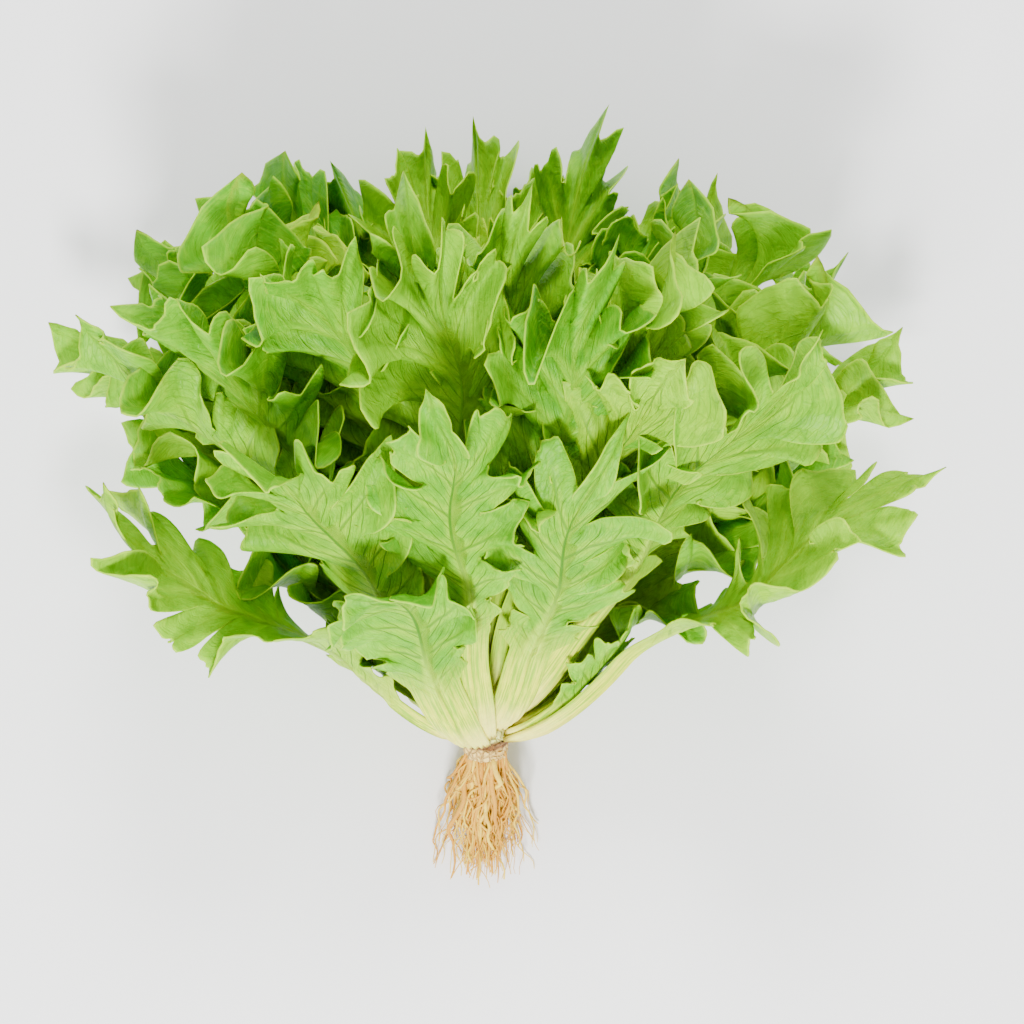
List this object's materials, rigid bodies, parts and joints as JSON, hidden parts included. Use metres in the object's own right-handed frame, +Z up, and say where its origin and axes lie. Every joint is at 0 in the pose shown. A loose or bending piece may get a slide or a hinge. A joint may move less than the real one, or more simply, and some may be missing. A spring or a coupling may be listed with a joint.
{
  "type": "curly endive head",
  "caption": "Pulled head of curly endive lying on its side: ruffled lobed leaves fanning from a short pale stem, with its fibrous roots.",
  "frame": {"origin": "on the surface the head lies on, under the middle of its bounding box", "axes": "+X is the head's right-hand side seen from above, the longest extent; +Y runs from the roots to the crown along the surface; +Z is up"},
  "size_m": [0.3366, 0.306, 0.1929],
  "materials": {
    "leaf_outer": "fresh leaf: pale green underside with paler ribs, soft satin, slightly translucent",
    "leaf_mid": "fresh leaf: bright lime green with light yellow-green frilled margins, soft satin",
    "leaf_heart": "young leaf: yellow-green, soft satin",
    "root": "washed fibrous root, tan, matte",
    "stem": "fresh stem tissue: cream to pale green, brown ring at the collar, satin"
  },
  "bodies": {
    "root": {"leaf_heart_01": "leaf_heart", "leaf_heart_02": "leaf_heart", "leaf_heart_03": "leaf_heart", "leaf_heart_04": "leaf_heart", "leaf_heart_05": "leaf_heart", "leaf_heart_06": "leaf_heart", "leaf_heart_07": "leaf_heart", "leaf_heart_08": "leaf_heart", "leaf_heart_09": "leaf_heart", "leaf_heart_10": "leaf_heart", "leaf_heart_11": "leaf_heart", "leaf_heart_12": "leaf_heart", "leaf_mid_01": "leaf_mid", "leaf_mid_02": "leaf_mid", "leaf_mid_03": "leaf_mid", "leaf_mid_04": "leaf_mid", "leaf_mid_05": "leaf_mid", "leaf_mid_06": "leaf_mid", "leaf_mid_07": "leaf_mid", "leaf_mid_08": "leaf_mid", "leaf_mid_09": "leaf_mid", "leaf_mid_10": "leaf_mid", "leaf_mid_11": "leaf_mid", "leaf_mid_12": "leaf_mid", "leaf_mid_13": "leaf_mid", "leaf_mid_14": "leaf_mid", "leaf_mid_15": "leaf_mid", "leaf_mid_16": "leaf_mid", "leaf_mid_17": "leaf_mid", "leaf_mid_18": "leaf_mid", "leaf_mid_19": "leaf_mid", "leaf_mid_20": "leaf_mid", "leaf_mid_21": "leaf_mid", "leaf_mid_22": "leaf_mid", "leaf_outer_01": "leaf_outer", "leaf_outer_02": "leaf_outer", "leaf_outer_03": "leaf_outer", "leaf_outer_04": "leaf_outer", "leaf_outer_05": "leaf_outer", "leaf_outer_06": "leaf_outer", "leaf_outer_07": "leaf_outer", "leaf_outer_08": "leaf_outer", "leaf_outer_09": "leaf_outer", "leaf_outer_10": "leaf_outer", "leaf_outer_11": "leaf_outer", "leaf_outer_12": "leaf_outer", "leaf_outer_13": "leaf_outer", "leaf_outer_14": "leaf_outer", "leaf_outer_15": "leaf_outer", "leaf_outer_16": "leaf_outer", "leaf_outer_17": "leaf_outer", "root_left": "root", "root_left_long": "root", "root_right": "root", "root_right_long": "root", "root_tuft": "root", "stem": "stem"}
  },
  "joints": []
}
